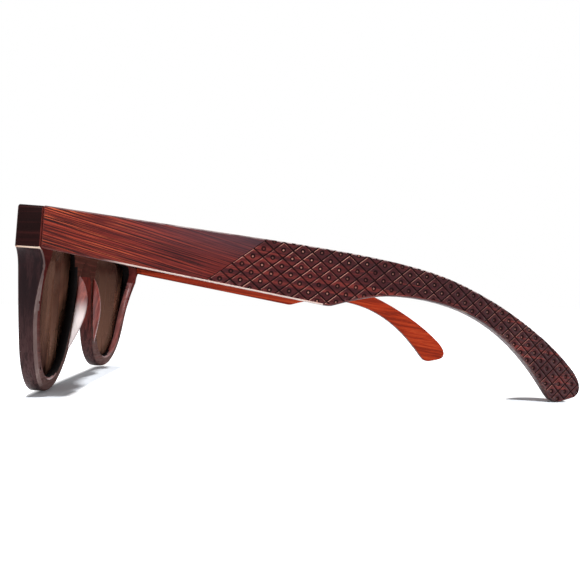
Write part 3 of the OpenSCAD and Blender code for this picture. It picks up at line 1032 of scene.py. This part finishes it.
@dataclass
class Temple:
    """One temple: stained, carved towards the ear and plain inside; sizes are in millimetres."""

    side: Side
    finishes: Finishes
    lattice: Lattice
    bend_start: float = 60.0
    bend_radius: float = 375.0
    edge_round: float = 0.35
    margin: float = 0.45
    hip_y: float = 71.0
    pocket_half: float = 2.7
    pocket_y: float = 27.0
    pocket_x: float = HALF_WIDTH - 1.5
    reach_out: float = 2.0

    def surface(self, y: float) -> float:
        """X of the left temple's outer face at a distance behind the seam."""
        past = max(y - self.bend_start, 0)
        return HALF_WIDTH - self.bend_radius + math.sqrt(max(self.bend_radius**2 - past**2, 0))

    def in_pocket(self, point: Vector) -> bool:
        """Whether a point lies on the pocket of the spring case."""
        x, y, z = abs(point.x) / MM, point.y / MM, point.z / MM
        return x < self.pocket_x and y < self.pocket_y and abs(z - HINGE_Z) < self.pocket_half

    def paint(self, face: BMFace) -> TempleSkin:
        """The finish of a plain face: outer side, edge or inner side.

        Args:
            face: the face.

        Returns:
            The finish.
        """
        out = face.normal.x * self.side.value
        if out > 0.75:
            return TempleSkin.OUTER
        return TempleSkin.EDGE if out > -0.75 else TempleSkin.INNER

    def paint_rounding(self, face: BMFace) -> TempleSkin:
        """The finish of a rounding: a pale painted highlight along the lower edge before the hip, a painted
        sheen along the top edge, the plain edge wood elsewhere.

        Args:
            face: a face of the rounding.

        Returns:
            The finish.
        """
        if face.normal.x * self.side.value < -0.2:
            return TempleSkin.INNER
        if face.normal.y < -0.5:
            return TempleSkin.OUTER
        # the top edge's rounding takes the painted sheen
        if face.normal.z > 0.2:
            return TempleSkin.UPPER_EDGE_SHEEN
        before_hip = face.calc_center_median().y < self.hip_y * MM
        return TempleSkin.LOWER_EDGE_HIGHLIGHT if before_hip else TempleSkin.EDGE

    def reach_of_carving(self) -> Object:
        """Makes a solid that leaves out the lower edge, so that the grooves stop before it.

        Returns:
            An object in the standing frame.
        """
        bm = merged_copy(f"temple_{self.side.label}")
        shift = (self.reach_out * MM * self.side.value, 0, self.margin * MM)
        bmesh.ops.translate(bm, vec=shift, verts=bm.verts[:])
        for face in bm.faces:
            face.material_index = TempleSkin.GROOVE.index
        return as_object(bm, "reach", self.finishes.temple)

    def build(self) -> None:
        """Rounds, paints and carves the temple."""
        node = f"temple_{self.side.label}"
        bm = merged_copy(node)
        for face in bm.faces:
            face.material_index = self.paint(face).index
        outline = soften(bm, self.edge_round, lambda e: not any(self.in_pocket(v.co) for v in e.verts))
        for face in outline:
            face.material_index = self.paint_rounding(face).index
        piece = as_object(bm, f"carved_{node}", self.finishes.temple)
        cutter = self.lattice.cutter(self.surface)
        if self.side is Side.RIGHT:
            cutter.data.transform(Matrix.Scale(-1, 4, (1, 0, 0)))
            cutter.data.flip_normals()
        for material in self.finishes.temple:
            cutter.data.materials.append(material)
        carve(cutter, self.reach_of_carving(), "INTERSECT")
        carve(piece, cutter, "DIFFERENCE")
        seat(piece, f"{self.side.label}_arm", Slot.TEMPLE, node)


@dataclass
class Hinge:
    """One sprung hinge: leaf, screws, tongue, coil, collar and case; sizes are in millimetres."""

    side: Side
    finishes: Finishes
    edge_round: float = 0.08
    least_edge: float = 0.25
    least_head: float = 2.4
    head_corners: int = 12
    slot_half: float = 0.12
    slot_depth: float = 0.22
    shank_x: float = 66.2
    coil_start: float = 6.4
    coil_radius: float = 0.88
    coil_pitch: float = 0.943
    coil_turns: int = 7
    coil_steps: int = 16
    wire_radius: float = 0.18
    wire_sides: int = 8

    def coil_piece(self, body: str) -> None:
        """Winds the spring about the shank.

        Args:
            body: the body that it rides on.
        """
        node = f"hinge_spring_{self.side.label}"
        bm = bmesh.new()
        middle = Vector((self.shank_x * self.side.value, self.coil_start, HINGE_Z)) * MM
        place = Matrix.Translation(middle + Vector((self.coil_radius * MM, 0, 0)))
        wire = bmesh.ops.create_circle(
            bm, cap_ends=False, radius=self.wire_radius * MM, segments=self.wire_sides, matrix=place,
        )
        bmesh.ops.spin(
            bm, geom=wire["verts"] + bm.edges[:], cent=middle, axis=(0, 1, 0),
            angle=math.tau * self.coil_turns, steps=self.coil_steps * self.coil_turns,
            dvec=(0, self.coil_pitch / self.coil_steps * MM, 0),
        )
        bmesh.ops.holes_fill(bm, edges=[e for e in bm.edges if e.is_boundary], sides=self.wire_sides)
        bmesh.ops.recalc_face_normals(bm, faces=bm.faces[:])
        piece = as_object(bm, f"wound_{node}", [self.finishes.steel[Slot.SCREW]], 60)
        seat(piece, body, Slot.SCREW, node)
        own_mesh(piece)

    def slot_head(self, bm: BMesh, cap: BMFace) -> None:
        """Sinks a driver's slot into the flat top of a screw head.

        Args:
            bm: the screw's mesh.
            cap: the head's top.
        """
        ahead, middle = cap.normal.copy(), cap.calc_center_median()
        across = ahead.orthogonal().normalized()
        bmesh.ops.inset_individual(bm, faces=[cap], thickness=self.edge_round * MM)
        for side in Side:
            edge = middle + across * (-side.value * self.slot_half * MM)
            geom = [cap, *cap.edges, *cap.verts]
            cut = bmesh.ops.bisect_plane(bm, geom=geom, plane_co=edge, plane_no=across)
            parts = [g for g in cut["geom"] if isinstance(g, BMFace)]
            cap = min(parts, key=lambda f: (f.calc_center_median() - middle).length)
        floor = bmesh.ops.extrude_discrete_faces(bm, faces=[cap])["faces"][0]
        bmesh.ops.translate(bm, vec=ahead * (-self.slot_depth * MM), verts=floor.verts[:])

    def plain_piece(self, part: str, body: str, slot: Slot) -> None:
        """Dresses one metal part with eased edges, and slots its heads if it holds screws.

        Args:
            part: the CAD node's name without its side.
            body: the body that it rides on.
            slot: the record's material slot, which says its finish.
        """
        node = f"{part}_{self.side.label}"
        bm = merged_copy(node)
        soften(bm, self.edge_round, lambda e: e.calc_length() > self.least_edge * MM, 2)
        if slot is Slot.SCREW:
            flat = [f for f in bm.faces if len(f.verts) >= self.head_corners]
            for cap in [f for f in flat if f.calc_area() > self.least_head * MM * MM]:
                self.slot_head(bm, cap)
        seat(as_object(bm, f"steel_{node}", [self.finishes.steel[slot]]), body, slot, node)

    def build(self) -> None:
        """Builds the hinge's parts."""
        arm, tongue = f"{self.side.label}_arm", f"{self.side.label}_tongue"
        self.plain_piece("hinge_leaf", "front", Slot.HINGE)
        self.plain_piece("leaf_screws", "front", Slot.SCREW)
        self.plain_piece("hinge_screw", "front", Slot.SCREW)
        self.plain_piece("hinge_tongue", tongue, Slot.HINGE)
        self.plain_piece("spring_collar", tongue, Slot.HINGE)
        self.coil_piece(arm)
        self.plain_piece("spring_case", arm, Slot.HINGE)
        self.plain_piece("case_screws", arm, Slot.SCREW)


@dataclass(frozen=True)
class Lamp:
    """A soft square lamp; its place, target and width are in metres and its power is in watts."""

    name: str
    place: Triple
    target: Triple
    width: float
    power: float

    def hang(self) -> None:
        """Adds the lamp to the scene."""
        data = bpy.data.lights.new(self.name, "AREA")
        data.size = self.width
        data.energy = self.power
        lamp = added(self.name, data)
        lamp.location = self.place
        ahead = Vector(self.target) - Vector(self.place)
        lamp.rotation_euler = ahead.to_track_quat("-Z", "Y").to_euler()


@dataclass(frozen=True)
class Patch:
    """A stretch of floor along X on which the glasses stand, in millimetres, where the floor glows less."""

    middle: Pair
    half: float
    fade: Pair
    dimmest: float = 0.02

    def glow(self, p: Painter) -> NodeSocket:
        """The floor's glow, which grows with the distance from the patch.

        Args:
            p: the floor's painter.

        Returns:
            The value socket.
        """
        aside = p.math("ABSOLUTE", p.math("SUBTRACT", p.axis("X"), self.middle[0] * MM))
        past = p.math("MAXIMUM", p.math("SUBTRACT", aside, self.half * MM), 0.0)
        ahead = p.math("SUBTRACT", p.axis("Y"), self.middle[1] * MM)
        away = p.math("SQRT", p.math("ADD", p.product(past, past), p.product(ahead, ahead)))
        return p.ramp(away, self.fade[0] * MM, self.fade[1] * MM, self.dimmest)


@dataclass
class Studio:
    """White floor, soft lamps and the photograph's camera, in millimetres and degrees."""

    eye: Triple = (224.806, -15.726, 26.768)
    yaw: float = 4.3352
    pitch: float = 1.2834
    roll: float = 0.5155
    lens: float = 37.7016
    sensor: float = 36.0
    ambient: float = 0.2
    floor_size: float = 4000.0
    floor_drop: float = 0.01
    floor_colour: Colour = (0.86, 0.9, 0.95, 1.0)
    rims: Patch = Patch((16.0, -71.0), 46.0, (4.5, 7.5))
    ear: Patch = Patch((61.0, 66.0), 0.0, (8.0, 9.5))
    lamps: tuple[Lamp, ...] = (
        Lamp("key", (0.4, -0.06, 0.66), (0, -0.03, 0), 0.05, 5.6),
        Lamp("near_side", (0.9, -0.35, 0.35), (0, 0, 0.02), 0.6, 1.8),
        Lamp("behind", (0.25, 0.65, 0.07), (0, -0.06, 0.03), 0.3, 2.6),
    )

    def world(self) -> None:
        """Makes a white surround that lights the object softly."""
        world = bpy.data.worlds.new("studio")
        world.use_nodes = True
        bpy.context.scene.world = world
        nodes = Nodes(world.node_tree)
        background = next(n for n in nodes.tree.nodes if n.type == "BACKGROUND")
        nodes.put(background.inputs["Color"], WHITE)
        nodes.put(background.inputs["Strength"], nodes.ramp(nodes.seen(), 0, 1, self.ambient))

    def floor_material(self) -> Material:
        """Makes the floor white to the eye, with the object's shadow kept where the glasses stand.

        Returns:
            The material.
        """
        p = Painter("white_floor", "BsdfDiffuse")
        p.set(Color=self.floor_colour)
        strength = p.product(p.seen(), p.math("MINIMUM", self.rims.glow(p), self.ear.glow(p)))
        glow = p.add("Emission", {"Color": WHITE, "Strength": strength})
        both = p.add("AddShader", {0: p.shader.outputs[0], 1: glow.outputs[0]})
        p.put(p.out.inputs[0], both.outputs[0])
        return p.material

    def floor(self) -> None:
        """Lays the floor just under the glasses."""
        bm = bmesh.new()
        bmesh.ops.create_grid(bm, x_segments=1, y_segments=1, size=self.floor_size * MM)
        mesh = bpy.data.meshes.new("floor")
        bm.to_mesh(mesh)
        bm.free()
        mesh.transform(Matrix.Translation((0, 0, -self.floor_drop * MM)))
        mesh.materials.append(self.floor_material())
        floor = added("floor", mesh)

    def camera(self) -> None:
        """Sets the camera at the photograph's view."""
        data = bpy.data.cameras.new("photo_view")
        data.sensor_width = self.sensor
        data.lens = self.lens
        data.clip_start = 10 * MM
        camera = added("photo_view", data)
        turns = ((90 - self.yaw, "Z"), (90 + self.pitch, "X"), (self.roll, "Z"))
        turn = reduce(Matrix.__matmul__, (Matrix.Rotation(math.radians(a), 4, axis) for a, axis in turns))
        camera.matrix_world = Matrix.Translation(Vector(self.eye) * MM) @ turn
        bpy.context.scene.camera = camera

    def build(self) -> None:
        """Sets the stage."""
        bpy.context.scene.view_settings.view_transform = "Standard"
        self.world()
        self.floor()
        for lamp in self.lamps:
            lamp.hang()
        self.camera()


def main() -> None:
    """Builds the glasses and the studio."""
    logging.basicConfig(level=logging.INFO, format="%(name)s: %(message)s")
    Studio().build()
    finishes = Finishes()
    Front(finishes).build()
    for side in Side:
        Temple(side, finishes, Lattice()).build()
        Hinge(side, finishes).build()


if __name__ == "__main__":
    main()
